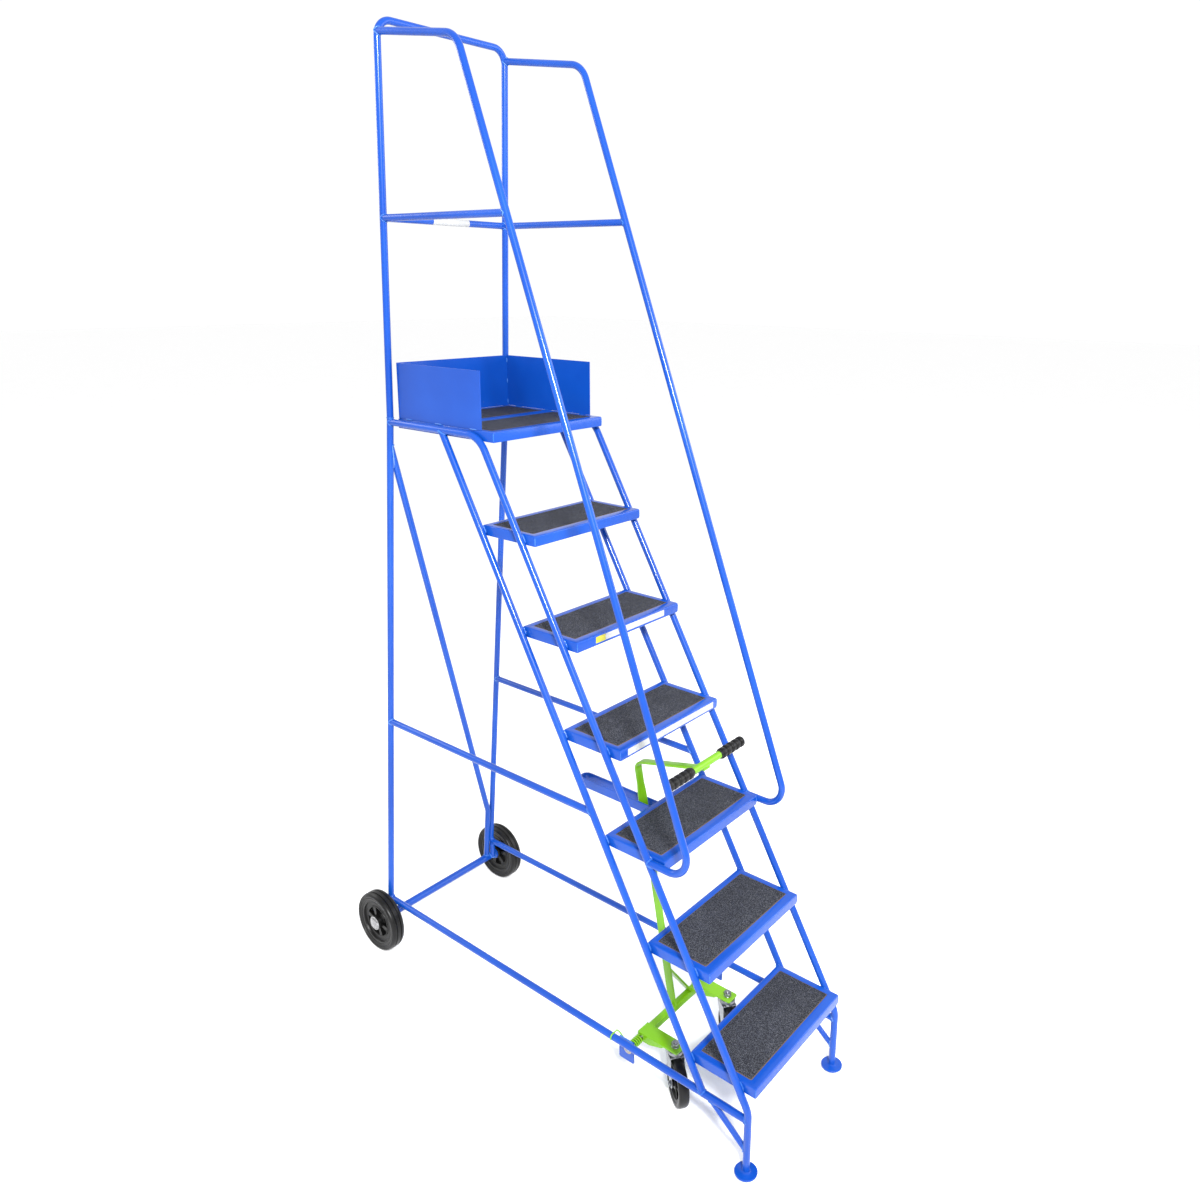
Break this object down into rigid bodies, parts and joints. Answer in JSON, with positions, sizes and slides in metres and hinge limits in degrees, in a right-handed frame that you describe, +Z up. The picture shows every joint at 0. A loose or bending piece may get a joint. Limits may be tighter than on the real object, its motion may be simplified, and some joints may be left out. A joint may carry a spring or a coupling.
{
  "type": "rolling warehouse ladder",
  "caption": "Blue tubular steel rolling warehouse ladder with gritted treads, a guarded platform, two rear wheels and a green lever that lifts or lowers a pair of front swivel castors.",
  "frame": {"origin": "middle of the footprint on the floor, under the ladder's bounding box", "axes": "+X to the climber's right, +Y the way the climber faces, +Z up"},
  "size_m": [0.578, 1.528, 2.7725],
  "materials": {
    "blue_paint": "gloss",
    "green_paint": "gloss",
    "grit": "matte",
    "grip_rubber": "matte",
    "wheel_rubber": "matte",
    "black_plastic": "matte",
    "zinc_steel": "satin"
  },
  "bodies": {
    "frame": {"left_front_stringer": "blue_paint", "right_front_stringer": "blue_paint", "left_rear_stringer": "blue_paint", "right_rear_stringer": "blue_paint", "left_side_frame": "blue_paint", "right_side_frame": "blue_paint", "guard_hoop": "blue_paint", "left_handrail": "blue_paint", "right_handrail": "blue_paint", "side_mid_rails": "blue_paint", "rear_mid_rail": "blue_paint", "side_braces": "blue_paint", "rear_diagonal_brace": "blue_paint", "axle_tube": "blue_paint", "axle_hangers": "blue_paint", "foot_braces": "blue_paint", "foot_pads": "blue_paint", "tread_1": "blue_paint", "tread_2": "blue_paint", "tread_3": "blue_paint", "tread_4": "blue_paint", "tread_5": "blue_paint", "tread_6": "blue_paint", "tread_1_grit": "grit", "tread_2_grit": "grit", "tread_3_grit": "grit", "tread_4_grit": "grit", "tread_5_grit": "grit", "tread_6_grit": "grit", "platform_front_pan": "blue_paint", "platform_rear_pan": "blue_paint", "platform_grit": "grit", "toe_board_corner": "blue_paint", "toe_board_side": "blue_paint", "lever_guide": "blue_paint", "pivot_brackets": "blue_paint", "pivot_bushes": "zinc_steel", "return_springs": "green_paint", "axle_rod": "zinc_steel", "wheel_caps": "zinc_steel"},
    "castor_carriage": {"carriage_cross_bar": "green_paint", "left_castor_arm": "green_paint", "right_castor_arm": "green_paint", "lever_bar": "green_paint", "lever_strut": "green_paint", "handle_tube": "green_paint", "handle_grips": "grip_rubber", "castor_nuts": "zinc_steel"},
    "left_castor_swivel_body": {"left_castor_fork": "zinc_steel", "left_castor_axle": "zinc_steel"},
    "right_castor_swivel_body": {"right_castor_fork": "zinc_steel", "right_castor_axle": "zinc_steel"},
    "left_castor_wheel_body": {"left_castor_tyre": "wheel_rubber", "left_castor_hub": "black_plastic"},
    "right_castor_wheel_body": {"right_castor_tyre": "wheel_rubber", "right_castor_hub": "black_plastic"},
    "left_rear_wheel_body": {"left_rear_tyre": "wheel_rubber", "left_rear_rim": "black_plastic"},
    "right_rear_wheel_body": {"right_rear_tyre": "wheel_rubber", "right_rear_rim": "black_plastic"}
  },
  "joints": [
    {"name": "carriage_tilt", "type": "hinge", "parent": "frame", "child": "castor_carriage", "pos_m": [-0.01, -0.346, 0.137], "axis": [1, 0, 0], "range_deg": [-10, 0]},
    {"name": "left_castor_swivel", "type": "hinge", "parent": "castor_carriage", "child": "left_castor_swivel_body", "pos_m": [-0.132, -0.448, 0.14], "axis": [0, 0, 1], "continuous": true},
    {"name": "right_castor_swivel", "type": "hinge", "parent": "castor_carriage", "child": "right_castor_swivel_body", "pos_m": [0.112, -0.448, 0.14], "axis": [0, 0, 1], "continuous": true},
    {"name": "left_castor_roll", "type": "hinge", "parent": "left_castor_swivel_body", "child": "left_castor_wheel_body", "pos_m": [-0.14749, -0.47012, 0.0625], "axis": [0.8192, -0.5736, 0], "continuous": true},
    {"name": "right_castor_roll", "type": "hinge", "parent": "right_castor_swivel_body", "child": "right_castor_wheel_body", "pos_m": [0.09651, -0.47012, 0.0625], "axis": [0.8192, -0.5736, 0], "continuous": true},
    {"name": "left_rear_wheel_roll", "type": "hinge", "parent": "frame", "child": "left_rear_wheel_body", "pos_m": [-0.2575, 0.667, 0.097], "axis": [1, 0, 0], "continuous": true},
    {"name": "right_rear_wheel_roll", "type": "hinge", "parent": "frame", "child": "right_rear_wheel_body", "pos_m": [0.2575, 0.667, 0.097], "axis": [1, 0, 0], "continuous": true}
  ]
}
